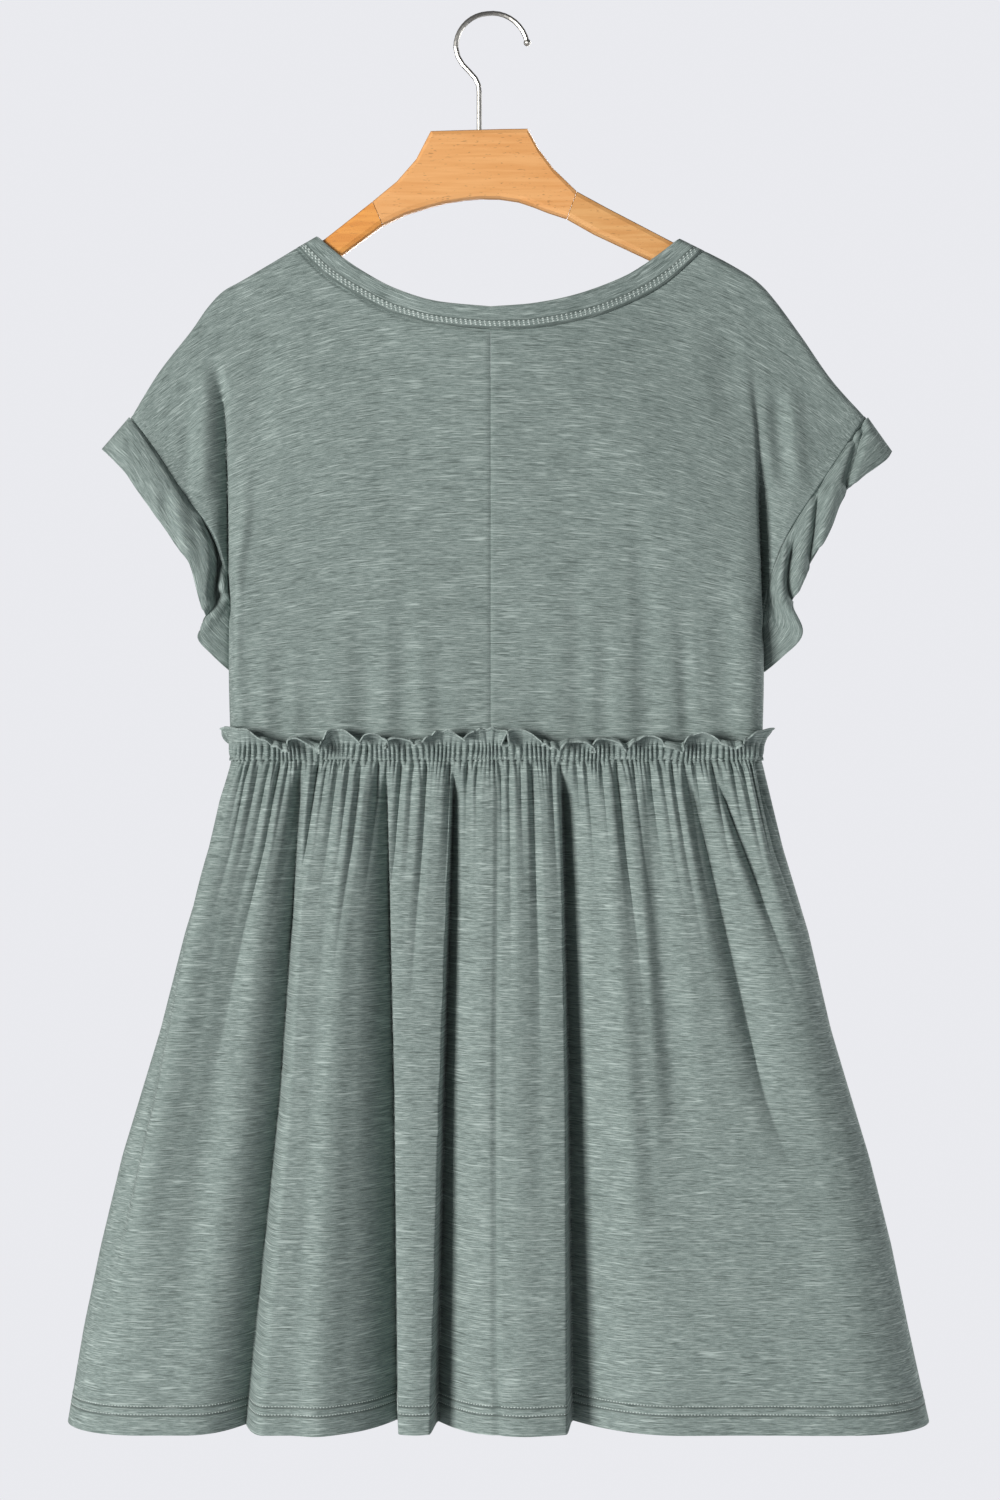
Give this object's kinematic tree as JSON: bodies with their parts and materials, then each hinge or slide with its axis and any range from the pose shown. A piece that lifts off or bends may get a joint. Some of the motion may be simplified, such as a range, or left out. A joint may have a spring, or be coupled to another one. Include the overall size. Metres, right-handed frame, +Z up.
{
  "type": "t-shirt dress on a hanger",
  "caption": "Short-sleeved jersey dress with a scoop neck, rolled cuffs, a frilled elastic waist and a gathered skirt, on a wooden hanger with a wire hook.",
  "frame": {"origin": "inside of the hook's bend, at its top, where a rail carries the hanger", "axes": "+Z up along the dress, +Y from the dress's back to its front, +X to the right of someone who looks at the dress's back"},
  "size_m": [0.6445, 0.082, 1.0562],
  "materials": {
    "slub_jersey": "grey-green slub cotton jersey, matt",
    "hanger_wood": "pale beech, satin lacquer",
    "hook_metal": "nickel plated steel wire"
  },
  "bodies": {
    "root": {"bodice_back_left": "slub_jersey", "bodice_back_right": "slub_jersey", "bodice_front": "slub_jersey", "neck_band": "slub_jersey", "cuff_left": "slub_jersey", "cuff_right": "slub_jersey", "waist_frill": "slub_jersey", "skirt_back_left": "slub_jersey", "skirt_back_right": "slub_jersey", "skirt_front": "slub_jersey", "hanger_centre": "hanger_wood", "hanger_arm_left": "hanger_wood", "hanger_arm_right": "hanger_wood", "hook": "hook_metal"}
  },
  "joints": []
}
